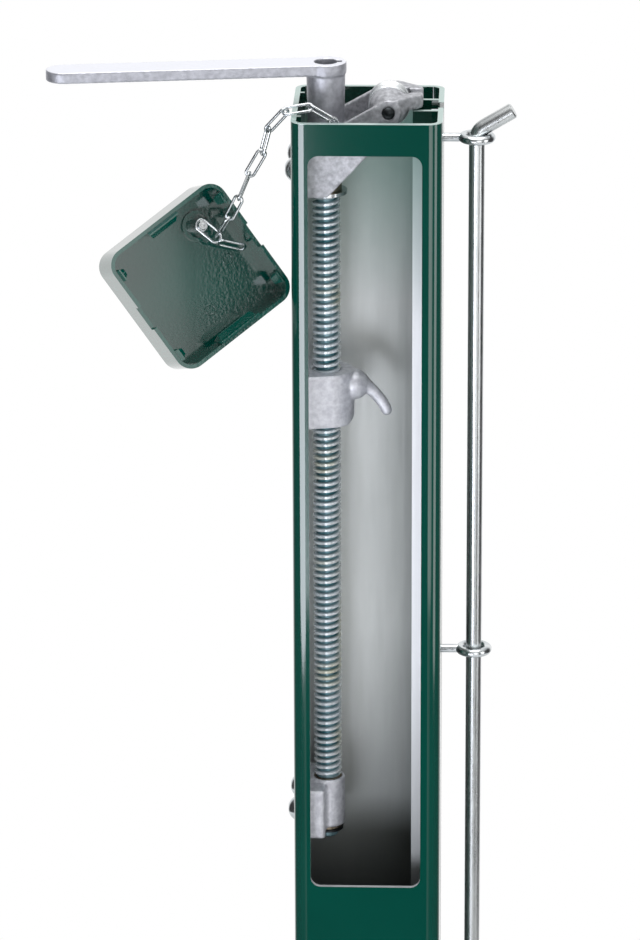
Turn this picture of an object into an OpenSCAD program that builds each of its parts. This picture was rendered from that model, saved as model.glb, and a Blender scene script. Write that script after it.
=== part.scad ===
// Tennis net post: a square aluminium profile that stands in a ground socket.
// Inside its top a screw, turned by a lift-off crank, pulls the net cable down
// over a pulley. A groove in one side holds the eye bolts of the lacing rod.
// The origin is the centre of the foot, +Z is up and the crank points to -X.
// The net side, with the groove and the lacing rod, is the +X side.

/* [Post profile] */
// Outer side of the square profile
post_side = 85; // [84:0.5:90]
// Wall of the profile
post_wall = 3; // [2.5:0.1:3.5]
// Outer corner radius
post_corner = 7.5; // [6:0.5:10]
// Length from the foot to the rim
post_length = 1420; // [1380:5:1600]
// Width of the slot for the net fittings
slot_width = 12; // [10.5:0.5:14]
// Width of the chamber behind the slot
chamber_width = 21.5; // [20:0.5:24]
// Depth of the chamber behind the slot lips
chamber_depth = 11.7; // [10:0.1:12.5]

/* [Service window] */
// Width of the window in the front wall
window_width = 64; // [56:0.5:66]
// Height of the window
window_height = 443.5; // [420:0.5:470]
// Distance from the rim down to the window
window_drop = 18.5; // [15:0.5:25]
// Corner radius of the window
window_corner = 6; // [4:0.5:10]

/* [Screw drive] */
// Outer diameter of the trapezoidal thread
thread_d = 16; // [16:0.5:18]
// Length of the threaded stretch
thread_length = 356; // [340:1:360]
// Distance from the left inner wall to the screw axis
screw_inset = 15.5; // [15:0.1:16.5]
// Diameter of the upper shaft that carries the crank
shaft_d = 12.8; // [12:0.1:13.5]
// Diameter of the lower journal
journal_d = 12; // [11:0.5:12.5]
// Height of the hook nut
nut_height = 31.5; // [28:0.5:36]
// Distance from the rim down to the top of the hook nut
nut_drop = 156.5; // [100:0.5:300]

/* [Crank] */
// Distance from the screw axis to the tip of the lever
crank_reach = 157.6; // [140:0.2:180]
// Width of the lever
crank_width = 20.5; // [18:0.5:23]
// Thickness of the lever
crank_thickness = 6.3; // [5.5:0.1:7]
// Angle of the lever round the screw
crank_angle = 188; // [180:1:200]

/* [Pulley] */
// Outer diameter of the pulley
pulley_d = 23.5; // [22:0.5:24.5]
// Width of the pulley
pulley_width = 12.5; // [11:0.1:13]
// Radius of the rope groove
rope_groove_r = 5.5; // [5:0.1:6]
// Diameter of the pulley pin
pin_d = 7; // [6:0.5:8]

/* [Lacing rod and eye bolts] */
// Diameter of the lacing rod
rod_d = 9; // [8:0.5:9.5]
// Distance from the profile's side to the rod axis
rod_offset = 18.8; // [18:0.1:22]
// Distance between eye bolts
eye_pitch = 309.1; // [280:0.1:330]
// Inner diameter of an eye
eye_inner_d = 11.1; // [11:0.1:13]
// Wire diameter of an eye bolt
eye_wire_d = 5; // [4:0.1:6]

/* [Hanging cap] */
// Outer side of the square cap
cap_side = 80; // [76:0.5:80]
// Depth of the cap
cap_depth = 28; // [26:0.5:30]
// Wall of the cap
cap_wall = 2.2; // [2:0.1:3]
// Outer corner radius of the cap
cap_corner = 10; // [8:0.5:12]

/* [Chain] */
// Diameter of the chain wire
chain_wire_d = 1.7; // [1.5:0.05:1.75]
// Inner length of a link
link_inner_length = 15.2; // [15.1:0.05:15.4]

/* [Hidden] */
$fn = 96;
green = "#023e35";
cast_grey = "#9ea3a2";
zinc = "#c4c9cb";
bronze = "#a8874f";
dark_steel = "#4a4f52";
half = post_side / 2;
inner = half - post_wall;
rim = post_length;
cut = 1;

// Heights below are measured from the rim, and downwards is negative
screw_x = -inner + screw_inset;
thread_top = -52;
thread_bottom = thread_top - thread_length;
journal_bottom = thread_bottom - 38;
shaft_top = 6;
bush_wall = 2.55;
bush_bore_r = shaft_d / 2 + 0.05;
bush_r = bush_bore_r + bush_wall;
boss_r = 12;
boss_floor = -48.8;
boss_top = -16;
flange_r = bush_r + 1;
flange_h = 1.7;
washer_h = 2;

// Cast bracket, with x measured from the left inner wall
bracket_half_w = 22.5;
bracket_wall = 4;
nose_half_w = 9.5;
bracket_side = [[0, boss_floor], [16.8, boss_floor], [58.2, -4.2], [62, 0.9], [70.4, 0.6], [70.4, 8.4],
    [56.5, 8.6], [44.4, 4.9], [0, -20]];
bracket_corners = [1, 5, 3, 1, 1, 1.6, 3, 3, 2];
pin_x = 51.3;
pin_z = 0.9;
pocket_r = 13.2;
cheek_r = 11.2;
cheek_bore_r = pin_d / 2 + 0.05;
pocket_half_w = pulley_width / 2 + 0.5;
cable_channel_w = 8.4;
bolt_y = 17.5;
top_bolt_z = -33.2;
block_bolt_z = thread_bottom - 14.6;
bolt_d = 8;
bolt_hole_r = 4.1;
bolt_head_r = 7;
bolt_head_h = 4.4;
bolt_length = 18;

// Bottom bearing block
block_top = thread_bottom - 2;
block_bottom = thread_bottom - 32;
block_depth = 14.5;
block_half_w = 23;
block_boss_r = 10;
journal_bush_r = journal_d / 2 + 2;

// Crank
crank_top = 25;
hub_bottom = boss_top + flange_h + 0.3;
crank_bore_r = shaft_d / 2 + 0.1;
key_w = 4;
key_inner_r = 4.4;
key_outer_r = 8.7;
keyway_w = 4.3;
keyway_r = 9;

// Lacing rod
rod_x = half + rod_offset;
eye_wire_r = eye_wire_d / 2;
eye_ring_r = eye_inner_d / 2 + eye_wire_r;
top_eye_z = -18.8;
rod_bottom = -985;
rod_bend_r = 9;
rod_lean = 59;
rod_bend_z = top_eye_z - 1.4;
rod_tip_length = 18.8;
slot_nut_half_h = 8;
slot_nut_half_w = 8.5;
slot_nut_t = 3.6;

// Hanging cap: place of its rim plane's centre from the rim's centre, and its turn
cap_place = [-93, -43.4, -88.7];
cap_turn = 19.4;
cap_tip = 72;
cap_spin = 31.6;
cap_floor = 5;
cap_screw_place = [20.5, 21];
cap_recess_r = 6.8;
cap_recess_depth = 2;
sleeve_r = 3.75;
sleeve_top = -13;
link_seat_z = -11.9;
cap_shank_r = 2;
cap_head_r = 2.9;

// Chain joints: points where two links hold each other, chosen by hand
anchor_place = [-13.4, -14.7];
inner_joints = [[-13, -25.5, -15.5], [-19.5, -25.5, -2.5], [-32, -23.5, 4.5], [-46, -23, 2]];
hanging_joints = [[-46, -23, 2], [-55.5, -23, -8.5], [-59, -22, -22], [-66.5, -22.5, -35],
    [-71.7, -29.5, -46.7], [-78, -25, -60], [-84.5, -19.5, -72]];
inner_rolls = [30, 140, 50];
hanging_rolls = [150, 50, 0, 150, 170, 80];
wire_r = chain_wire_d / 2;
link_half_w = 3.3;

// Points of an arc, from one angle to another
function arc_points(centre, r, from_angle, to_angle, steps) =
    [for (i = [0:steps]) let (a = from_angle + (to_angle - from_angle) * i / steps)
        centre + r * [cos(a), sin(a)]];

function unit(v) = v / norm(v);
function angle_of(v) = atan2(v.y, v.x);
// Turn between two directions, from -180 to 180
function turn_between(a, b) = (angle_of(b) - angle_of(a) + 540) % 360 - 180;

// Outline with its corners rounded: each corner becomes an arc tangent to its two edges
function rounded_corner(before, corner, after, r, steps) =
    let (
        u = unit(before - corner),
        v = unit(after - corner),
        half_open = acos(u * v) / 2,
        bisector = unit(u + v),
        centre = corner + bisector * r / sin(half_open),
        start = corner + u * r / tan(half_open) - centre,
        finish = corner + v * r / tan(half_open) - centre,
        sweep = turn_between(start, finish)
    )
    arc_points(centre, r, angle_of(start), angle_of(start) + sweep, steps);

function rounded_outline(points, radii, steps = 5) =
    let (n = len(points))
    [for (i = [0:n - 1])
        each rounded_corner(points[(i + n - 1) % n], points[i], points[(i + 1) % n], radii[i], steps)];

// Square of the given side with round corners, made of true arcs
module rounded_square(side_x, side_y, r) {
    square([side_x - 2 * r, side_y], center = true);
    square([side_x, side_y - 2 * r], center = true);
    for (sx = [-1, 1], sy = [-1, 1])
        translate([sx * (side_x / 2 - r), sy * (side_y / 2 - r)])
            circle(r);
}

// Cylinder along +X that starts at x = 0
module rod_x(r, length) {
    rotate([0, 90, 0])
        cylinder(r = r, h = length);
}

// Cylinder along Y, centred
module rod_y(r, length) {
    rotate([90, 0, 0])
        cylinder(r = r, h = length, center = true);
}

// Everything inside the top of the post hangs from the rim and the left inner wall
module at_wall() {
    translate([-inner, 0, rim])
        children();
}

module at_screw() {
    translate([screw_x, 0, rim])
        children();
}

// Extruded section of the post, with the net groove on the right
module post_section() {
    chamber_wall = 2.5;
    rib_h = 2.5;
    rib_t = 2;
    rib_y = 25.5;
    difference() {
        union() {
            difference() {
                rounded_square(post_side, post_side, post_corner);
                rounded_square(2 * inner, 2 * inner, post_corner - post_wall);
            }
            translate([inner - chamber_depth - chamber_wall, -chamber_width / 2 - chamber_wall])
                square([chamber_depth + chamber_wall + cut, chamber_width + 2 * chamber_wall]);
            for (s = [-1, 1])
                translate([-inner - cut, s * rib_y - rib_t / 2])
                    square([rib_h + cut, rib_t]);
        }
        translate([inner - chamber_depth, -chamber_width / 2])
            square([chamber_depth, chamber_width]);
        translate([inner - cut, -slot_width / 2])
            square([post_wall + 2 * cut, slot_width]);
    }
}

module post_profile() {
    window_shift = -0.8;
    color(green)
        difference() {
            linear_extrude(height = post_length)
                post_section();
            translate([window_shift, -inner + 2, rim - window_drop - window_height / 2])
                rotate([90, 0, 0])
                    linear_extrude(height = post_wall + 4)
                        rounded_square(window_width, window_height, window_corner);
            for (s = [-1, 1], z = [top_bolt_z, block_bolt_z])
                translate([-half - cut, s * bolt_y, rim + z])
                    rod_x(bolt_hole_r, post_wall + 2 * cut);
        }
}

// Plan of the bracket: parallel walls that draw in to the cable nose
module bracket_plan() {
    taper_start = 56;
    nose_end = bracket_side[4].x;
    polygon([[0, -bracket_half_w], [taper_start, -bracket_half_w], [nose_end, -nose_half_w],
        [nose_end, nose_half_w], [taper_start, bracket_half_w], [0, bracket_half_w]]);
}

// Trough between the side walls, open to the top
module bracket_trough() {
    trough_start = screw_inset + boss_r;
    trough_end = 54;
    floor_t = 5;
    slope = (bracket_side[2].y - bracket_side[1].y) / (bracket_side[2].x - bracket_side[1].x);
    rise = floor_t * sqrt(1 + slope * slope);
    function floor_z(x) = bracket_side[1].y + (x - bracket_side[1].x) * slope + rise;
    rotate([90, 0, 0])
        linear_extrude(height = 2 * (bracket_half_w - bracket_wall), center = true)
            polygon([[-cut, boss_top], [trough_start, boss_top], [trough_start, floor_z(trough_start)],
                [trough_end, floor_z(trough_end)], [trough_end, 20], [-cut, 20]]);
}

// Cheek beside the pulley, with a cone down to the pin on the outside of the wall
module pulley_cheek() {
    cheek_straight = 8;
    cone_end_r = 7;
    rotate([-90, 0, 0]) {
        cylinder(r = cheek_r, h = cheek_straight);
        translate([0, 0, cheek_straight])
            cylinder(r1 = cheek_r, r2 = cone_end_r, h = bracket_half_w - cheek_straight);
    }
}

module top_bearing_bracket() {
    channel_depth = 3;
    nose_top = bracket_side[5].y;
    tall = 80;
    wide = 60;
    color(cast_grey)
        at_wall()
            difference() {
                union() {
                    difference() {
                        intersection() {
                            rotate([90, 0, 0])
                                linear_extrude(height = 2 * bracket_half_w, center = true)
                                    polygon(rounded_outline(bracket_side, bracket_corners));
                            translate([0, 0, -tall + 20])
                                linear_extrude(height = tall)
                                    bracket_plan();
                        }
                        bracket_trough();
                    }
                    translate([pin_x, 0, pin_z]) {
                        pulley_cheek();
                        mirror([0, 1, 0])
                            pulley_cheek();
                    }
                }
                translate([pin_x, 0, pin_z]) {
                    rod_y(pocket_r, 2 * pocket_half_w);
                    rod_y(cheek_bore_r, wide);
                }
                translate([pin_x, -cable_channel_w / 2, nose_top - channel_depth])
                    cube([wide, cable_channel_w, channel_depth + cut]);
                translate([screw_inset, 0, boss_floor - cut])
                    cylinder(r = bush_r, h = boss_top - boss_floor + 2 * cut);
                for (s = [-1, 1])
                    translate([-cut, s * bolt_y, top_bolt_z])
                        rod_x(bolt_hole_r, bolt_length + cut);
            }
}

module top_bush() {
    bush_foot = boss_floor - 0.7;
    color(bronze)
        at_screw()
            difference() {
                union() {
                    translate([0, 0, bush_foot])
                        cylinder(r = bush_r, h = boss_top - bush_foot);
                    translate([0, 0, boss_top])
                        cylinder(r = flange_r, h = flange_h);
                }
                translate([0, 0, bush_foot - cut])
                    cylinder(r = bush_bore_r, h = boss_top + flange_h - bush_foot + 2 * cut);
            }
}

module top_thrust_washer() {
    washer_top = boss_floor - 0.9;
    color(zinc)
        at_screw()
            translate([0, 0, washer_top - washer_h])
                difference() {
                    cylinder(r = 12, h = washer_h);
                    translate([0, 0, -cut])
                        cylinder(r = bush_bore_r + 0.1, h = washer_h + 2 * cut);
                }
}

// Screw: threaded stretch, upper shaft with a key seat and lower journal
module lead_screw() {
    chamfer = 1.2;
    ring_seat_top = journal_bottom + 5.2;
    color(zinc)
        at_screw()
            difference() {
                rotate_extrude()
                    polygon([[0, journal_bottom], [journal_d / 2 - 1, journal_bottom],
                        [journal_d / 2, journal_bottom + 1], [journal_d / 2, thread_bottom],
                        [thread_d / 2 - chamfer, thread_bottom], [thread_d / 2, thread_bottom + chamfer],
                        [thread_d / 2, thread_top - chamfer], [thread_d / 2 - chamfer, thread_top],
                        [shaft_d / 2, thread_top], [shaft_d / 2, shaft_top - 1],
                        [shaft_d / 2 - 1, shaft_top], [0, shaft_top]]);
                rotate([0, 0, crank_angle - 180])
                    translate([key_inner_r, -key_w / 2, hub_bottom + 1])
                        cube([10, key_w, 18]);
            }
}

module drive_key() {
    color(dark_steel)
        at_screw()
            rotate([0, 0, crank_angle - 180])
                translate([key_inner_r, -key_w / 2, hub_bottom + 1])
                    cube([key_outer_r - key_inner_r, key_w, 18]);
}

// Crank: flat lever with a round end, a round eye and a tapered hub below it
module crank_handle() {
    eye_r = 11.7;
    hub_top_r = 11;
    hub_bottom_r = 10.4;
    lever_bottom = crank_top - crank_thickness;
    color(cast_grey)
        at_screw()
            rotate([0, 0, crank_angle])
                difference() {
                    union() {
                        translate([0, 0, lever_bottom])
                            linear_extrude(height = crank_thickness) {
                                circle(eye_r);
                                translate([0, -crank_width / 2])
                                    square([crank_reach - crank_width / 2, crank_width]);
                                translate([crank_reach - crank_width / 2, 0])
                                    circle(crank_width / 2);
                            }
                        translate([0, 0, hub_bottom])
                            cylinder(r1 = hub_bottom_r, r2 = hub_top_r, h = lever_bottom - hub_bottom);
                    }
                    translate([0, 0, hub_bottom - cut])
                        cylinder(r = crank_bore_r, h = crank_top - hub_bottom + 2 * cut);
                    translate([-keyway_r, -keyway_w / 2, hub_bottom - cut])
                        cube([keyway_r, keyway_w, crank_top - hub_bottom + 2 * cut]);
                }
}

// Hook nut
nut_r = 15.9;

// Plan of the nut: a round boss whose sides run out to a guide plate at the wall
module nut_plan() {
    plate_half_w = 19.5;
    plate_x = -screw_inset + 0.5;
    flank_turn = 15;
    touch = nut_r * [sin(flank_turn), cos(flank_turn)];
    difference() {
        union() {
            circle(nut_r);
            polygon([[plate_x, -plate_half_w], [touch.x, -touch.y], [touch.x, touch.y], [plate_x, plate_half_w]]);
        }
        translate([plate_x - nut_r, -nut_r])
            square([nut_r, 2 * nut_r]);
    }
}

// Stations of the hook's horn: place of the centre from the screw axis and the nut's top, then radius
horn_stations = [[15.4, -9.3, 9.2], [20.7, -9.4, 5], [23.9, -11.4, 4], [26.9, -13.8, 3.6], [29.6, -17, 3.45],
    [31.9, -20, 3.4], [33.6, -23.1, 3.35], [34.4, -25, 3.15]];

module horn() {
    for (i = [0:len(horn_stations) - 2])
        hull()
            for (k = [i, i + 1])
                translate([horn_stations[k].x, 0, horn_stations[k].y])
                    sphere(horn_stations[k].z, $fn = 24);
}

module hook_nut() {
    edge_r = 5.2;
    color(cast_grey)
        at_screw()
            translate([0, 0, -nut_drop])
                difference() {
                    union() {
                        translate([0, 0, -nut_height])
                            linear_extrude(height = nut_height)
                                nut_plan();
                        horn();
                    }
                    // Rounded lower edge of the boss on the hook's side
                    translate([nut_r - edge_r, 0, -nut_height + edge_r])
                        rotate([90, 0, 0])
                            linear_extrude(height = 4 * nut_r, center = true)
                                difference() {
                                    translate([0, -edge_r - cut])
                                        square(edge_r + cut);
                                    circle(edge_r);
                                }
                    translate([0, 0, -nut_height - cut])
                        cylinder(r = thread_d / 2 + 0.05, h = nut_height + 2 * cut);
                }
}

// Bottom bearing: a block on the wall with a round boss round the lower journal
module bottom_bearing_block() {
    boss_top_z = block_top + 1.5;
    boss_bottom_z = block_bottom + 1.5;
    color(cast_grey)
        at_wall()
            difference() {
                union() {
                    translate([0, 0, block_bottom])
                        linear_extrude(height = block_top - block_bottom)
                            polygon(rounded_outline([[0, -block_half_w], [block_depth, -block_half_w],
                                [block_depth, block_half_w], [0, block_half_w]], [0.5, 3, 3, 0.5]));
                    translate([screw_inset, 0, boss_bottom_z])
                        cylinder(r = block_boss_r, h = boss_top_z - boss_bottom_z);
                }
                translate([screw_inset, 0, block_bottom - cut])
                    cylinder(r = journal_bush_r, h = block_top - block_bottom + 4);
                for (s = [-1, 1])
                    translate([-cut, s * bolt_y, block_bolt_z])
                        rod_x(bolt_hole_r, 12 + cut);
            }
}

module bottom_bush() {
    bush_top_z = block_top + 1.7;
    bush_bottom_z = block_bottom - 0.3;
    color(bronze)
        at_screw()
            translate([0, 0, bush_bottom_z])
                difference() {
                    cylinder(r = journal_bush_r, h = bush_top_z - bush_bottom_z);
                    translate([0, 0, -cut])
                        cylinder(r = journal_d / 2 + 0.05, h = bush_top_z - bush_bottom_z + 2 * cut);
                }
}

module bottom_retaining_ring() {
    ring_h = 1.2;
    color(dark_steel)
        at_screw()
            translate([0, 0, block_bottom - 0.6 - ring_h])
                difference() {
                    cylinder(r = 9, h = ring_h);
                    translate([0, 0, -cut])
                        cylinder(r = journal_d / 2, h = ring_h + 2 * cut);
                }
}

// Pulley: disc with a round-bottomed rope groove
module cable_pulley() {
    pulley_r = pulley_d / 2;
    groove_depth = 2.2;
    edge = 0.8;
    color(zinc)
        at_wall()
            translate([pin_x, 0, pin_z])
                rotate([90, 0, 0])
                    rotate_extrude()
                        difference() {
                            polygon([[pin_d / 2 + 0.05, -pulley_width / 2], [pulley_r - edge, -pulley_width / 2],
                                [pulley_r, -pulley_width / 2 + edge], [pulley_r, pulley_width / 2 - edge],
                                [pulley_r - edge, pulley_width / 2], [pin_d / 2 + 0.05, pulley_width / 2]]);
                            translate([pulley_r - groove_depth + rope_groove_r, 0])
                                circle(rope_groove_r);
                        }
}

// Pin through both cheeks, with a domed head in front
module pulley_pin() {
    head_out = 1.8;
    dome_r = (pow(pin_d / 2, 2) + head_out * head_out) / (2 * head_out);
    color(dark_steel)
        at_wall()
            translate([pin_x, -bracket_half_w, pin_z])
                rotate([-90, 0, 0]) {
                    cylinder(r = pin_d / 2, h = 2 * bracket_half_w + 1.6);
                    translate([0, 0, 0.01])
                        intersection() {
                            translate([0, 0, dome_r - head_out])
                                sphere(dome_r);
                            translate([0, 0, -head_out - cut])
                                cylinder(r = pin_d, h = head_out + cut);
                        }
                }
}

module pulley_pin_clip() {
    clip_h = 1;
    color(zinc)
        at_wall()
            translate([pin_x, bracket_half_w + 0.2, pin_z])
                rotate([-90, 0, 0])
                    difference() {
                        cylinder(r = 5.4, h = clip_h);
                        translate([0, 0, -cut])
                            cylinder(r = pin_d / 2, h = clip_h + 2 * cut);
                    }
}

// Dome-headed bolt along +X, its head outside the wall, with a hexagon socket
module dome_bolt(shank_length) {
    socket_depth = 2.4;
    socket_r = 2.9;
    sphere_r = (bolt_head_r * bolt_head_r + bolt_head_h * bolt_head_h) / (2 * bolt_head_h);
    translate([-half, 0, 0]) {
        difference() {
            intersection() {
                translate([sphere_r - bolt_head_h, 0, 0])
                    sphere(sphere_r);
                translate([-bolt_head_h - cut, 0, 0])
                    rod_x(bolt_head_r + 1, bolt_head_h + cut);
            }
            translate([-bolt_head_h - cut, 0, 0])
                rotate([0, 90, 0])
                    cylinder(r = socket_r, h = socket_depth + cut, $fn = 6);
        }
        translate([-0.5, 0, 0])
            rod_x(bolt_d / 2, shank_length + 0.5);
    }
}

module top_bracket_bolts() {
    color(zinc)
        for (s = [-1, 1])
            translate([0, s * bolt_y, rim + top_bolt_z])
                dome_bolt(post_wall + bolt_length - 1);
}

module bottom_block_bolts() {
    color(zinc)
        for (s = [-1, 1])
            translate([0, s * bolt_y, rim + block_bolt_z])
                dome_bolt(post_wall + 11);
}

// The cap's own frame: the rim is at z = 0, the open side looks to +Z
module at_cap() {
    translate([cap_place.x, cap_place.y, rim + cap_place.z])
        rotate([0, 0, cap_turn])
            rotate([cap_tip, 0, 0])
                rotate([0, 0, cap_spin])
                    children();
}

// Snap tab that stands up from the cap's wall, with a slanted tip
module snap_tab(length, stand) {
    tab_t = 2;
    root = 8;
    translate([-length / 2, 0, 0])
        rotate([90, 0, 90])
            linear_extrude(height = length)
                polygon([[0, -root], [tab_t, -root], [tab_t, stand - 1.5], [tab_t - 1.2, stand], [0, stand]]);
}

module cap_shell() {
    cap_half = cap_side / 2;
    notch_w = 15;
    notch_depth = 5;
    corner_tab_at = 27.8;
    inner_side = cap_side - 2 * cap_wall;
    color(green)
        at_cap()
            difference() {
                union() {
                    difference() {
                        translate([0, 0, -cap_depth])
                            linear_extrude(height = cap_depth)
                                rounded_square(cap_side, cap_side, cap_corner);
                        translate([0, 0, -cap_depth + cap_floor])
                            linear_extrude(height = cap_depth)
                                rounded_square(inner_side, inner_side, cap_corner - cap_wall);
                    }
                    translate([0, inner_side / 2 - 2, 0])
                        snap_tab(21, 2);
                    mirror([0, 1, 0])
                        translate([0, inner_side / 2 - 2, 0])
                            snap_tab(27, 5);
                    for (s = [-1, 1], side = [-1, 1])
                        rotate([0, 0, side * 90])
                            translate([s * corner_tab_at, inner_side / 2 - 2, 0])
                                snap_tab(7, 2);
                    translate([cap_screw_place.x, cap_screw_place.y, -cap_depth + cap_floor - cut])
                        cylinder(r = cap_recess_r + 2, h = cap_recess_depth + cut);
                }
                for (side = [-1, 1])
                    translate([side * cap_half - 5, -notch_w / 2, -notch_depth])
                        cube([10, notch_w, notch_depth + 10]);
                translate([cap_screw_place.x, cap_screw_place.y, -cap_depth + cap_floor])
                    cylinder(r = cap_recess_r, h = cap_recess_depth + cut);
            }
}

module cap_sleeve() {
    sleeve_foot = -cap_depth + cap_floor;
    color(zinc)
        at_cap()
            translate([cap_screw_place.x, cap_screw_place.y, sleeve_foot])
                difference() {
                    cylinder(r = sleeve_r, h = sleeve_top - sleeve_foot);
                    translate([0, 0, -cut])
                        cylinder(r = cap_shank_r + 0.05, h = sleeve_top - sleeve_foot + 2 * cut);
                }
}

// Screw through the last link, the sleeve and the cap's floor
module cap_screw() {
    head_bottom = link_seat_z + wire_r + 0.2;
    head_h = 2;
    shank_foot = -cap_depth + cap_floor;
    color(zinc)
        at_cap()
            translate([cap_screw_place.x, cap_screw_place.y, 0])
                difference() {
                    union() {
                        translate([0, 0, shank_foot])
                            cylinder(r = cap_shank_r, h = head_bottom - shank_foot + 0.5);
                        translate([0, 0, head_bottom])
                            cylinder(r1 = cap_head_r, r2 = cap_head_r - 0.5, h = head_h);
                    }
                    translate([0, 0, head_bottom + head_h - 1.6])
                        cylinder(r = 1.3, h = 3, $fn = 6);
                }
}

// Oval chain link in the x-z plane, centred, its long side along Z
module link(inner_length, half_w) {
    bend_r = half_w - wire_r;
    straight = inner_length - 2 * (bend_r - wire_r);
    for (s = [-1, 1])
        translate([s * bend_r, 0, 0])
            cylinder(r = wire_r, h = straight, center = true, $fn = 24);
    for (s = [0, 1])
        mirror([0, 0, s])
            translate([0, 0, straight / 2])
                rotate([90, 0, 0])
                    rotate_extrude(angle = 180, $fn = 32)
                        translate([bend_r, 0])
                            circle(wire_r, $fn = 24);
}

// Link laid along the line from one joint to the next, and turned round that line
module link_between(from, to, roll, half_w = link_half_w) {
    run = to - from;
    middle = (from + to) / 2;
    translate([middle.x, middle.y, rim + middle.z])
        rotate([0, acos(run.z / norm(run)), atan2(run.y, run.x)])
            rotate([0, 0, roll])
                link(link_inner_length, half_w);
}

// Pan-head screw on the bracket's front wall, through the end of the first link
module chain_anchor_screw() {
    shank_r = 1.1;
    collar_h = 0.7;
    head_start = 5.2;
    color(zinc)
        translate([anchor_place.x, -bracket_half_w, rim + anchor_place.y])
            rotate([90, 0, 0]) {
                cylinder(r = shank_r, h = head_start + 0.5, $fn = 32);
                translate([0, 0, head_start])
                    cylinder(r1 = 3, r2 = 2.4, h = 1.8);
                cylinder(r = 2, h = collar_h);
            }
}

module inner_chain_links() {
    color(zinc)
        for (i = [0:len(inner_joints) - 2])
            link_between(inner_joints[i], inner_joints[i + 1], inner_rolls[i]);
}

module hanging_chain_links() {
    color(zinc)
        for (i = [0:len(hanging_joints) - 2])
            link_between(hanging_joints[i], hanging_joints[i + 1], hanging_rolls[i]);
}

// Wide end link round the cap's screw
module cap_chain_links() {
    end_half_w = 4.2;
    end_link_turn = 14.3;
    color(zinc)
        at_cap()
            translate([cap_screw_place.x, cap_screw_place.y, link_seat_z])
                rotate([0, 0, end_link_turn])
                    translate([0, end_half_w - 2 * wire_r - link_inner_length / 2, 0])
                        rotate([90, 0, 0])
                            link(link_inner_length, end_half_w);
}

// Lacing rod: one swept tube, straight up to the top eye, then bent over it to a short tip
rod_sides = 32;
rod_bend_steps = 8;

// Centre of the rod where it has leant by an angle, from the straight rod's axis and the rim
function rod_bend_at(lean) = [rod_bend_r * (1 - cos(lean)), 0, rod_bend_z + rod_bend_r * sin(lean)];

function rod_direction(lean) = [sin(lean), 0, cos(lean)];

// Ring of points square to the rod's direction
function rod_ring(centre, lean) =
    [for (i = [0:rod_sides - 1]) let (turn = 360 * i / rod_sides)
        centre + rod_d / 2 * (cos(turn) * [cos(lean), 0, -sin(lean)] + sin(turn) * [0, 1, 0])];

module lacing_rod() {
    leans = [for (k = [0:rod_bend_steps]) rod_lean * k / rod_bend_steps];
    tip = rod_bend_at(rod_lean) + rod_tip_length * rod_direction(rod_lean);
    rings = concat([rod_ring([0, 0, rod_bottom], 0)], [for (lean = leans) rod_ring(rod_bend_at(lean), lean)],
        [rod_ring(tip, rod_lean)]);
    last = len(rings) - 1;
    color(zinc)
        translate([rod_x, 0, rim])
            polyhedron(
                points = [for (ring = rings) each ring],
                faces = concat(
                    [[for (i = [0:rod_sides - 1]) i]],
                    [for (k = [0:last - 1], i = [0:rod_sides - 1]) let (next = (i + 1) % rod_sides)
                        [k * rod_sides + i, (k + 1) * rod_sides + i,
                            (k + 1) * rod_sides + next, k * rod_sides + next]],
                    [[for (i = [0:rod_sides - 1]) last * rod_sides + rod_sides - 1 - i]]));
}

// Eye bolt: ring round the rod and a shank through the slot
module eye_bolt(place) {
    shank_start = inner - 8.5;
    color(zinc)
        translate([rod_x, 0, rim + top_eye_z - place * eye_pitch]) {
            rotate_extrude()
                translate([eye_ring_r, 0])
                    circle(eye_wire_r, $fn = 48);
            translate([shank_start - rod_x, 0, 0])
                rod_x(eye_wire_r, rod_x - eye_ring_r - shank_start);
        }
}

module eye_bolt_1() { eye_bolt(0); }
module eye_bolt_2() { eye_bolt(1); }
module eye_bolt_3() { eye_bolt(2); }
module eye_bolt_4() { eye_bolt(3); }

// Slot nut: a plate behind the lips of the slot, threaded for the eye bolt
module slot_nut(place) {
    color(dark_steel)
        translate([inner - slot_nut_t, 0, rim + top_eye_z - place * eye_pitch])
            difference() {
                translate([0, -slot_nut_half_w, -slot_nut_half_h])
                    cube([slot_nut_t, 2 * slot_nut_half_w, 2 * slot_nut_half_h]);
                translate([-cut, 0, 0])
                    rod_x(eye_wire_r, slot_nut_t + 2 * cut);
            }
}

module slot_nut_1() { slot_nut(0); }
module slot_nut_2() { slot_nut(1); }
module slot_nut_3() { slot_nut(2); }
module slot_nut_4() { slot_nut(3); }

// Stop nut in the groove just under the rim, with a rounded top
module groove_stop_nut() {
    stop_r = 4;
    color(zinc)
        translate([inner - 4, 0, rim - 2.5 - stop_r])
            rotate([0, 90, 0]) {
                cylinder(r = stop_r, h = 4);
                translate([0, -stop_r, 0])
                    cube([3, 2 * stop_r, 4]);
            }
}

post_profile();
top_bearing_bracket();
top_bush();
top_thrust_washer();
lead_screw();
drive_key();
crank_handle();
hook_nut();
bottom_bearing_block();
bottom_bush();
bottom_retaining_ring();
cable_pulley();
pulley_pin();
pulley_pin_clip();
top_bracket_bolts();
bottom_block_bolts();
cap_shell();
cap_sleeve();
cap_screw();
chain_anchor_screw();
inner_chain_links();
hanging_chain_links();
cap_chain_links();
lacing_rod();
groove_stop_nut();
eye_bolt_1();
eye_bolt_2();
eye_bolt_3();
eye_bolt_4();
slot_nut_1();
slot_nut_2();
slot_nut_3();
slot_nut_4();
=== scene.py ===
# %% [markdown]
# # A tennis net post, dressed in Blender
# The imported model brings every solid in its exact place. This script gives each one its finish, and
# makes the few pieces whose real shape is finer than a solid needs to be: the screw thread, the soft
# edges of the castings and the round of the rod. Lengths are in metres, +Z is up and the origin is the
# centre of the foot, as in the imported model.

import math

import bmesh
import bpy
import numpy as np
from mathutils import Matrix, Vector


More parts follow.
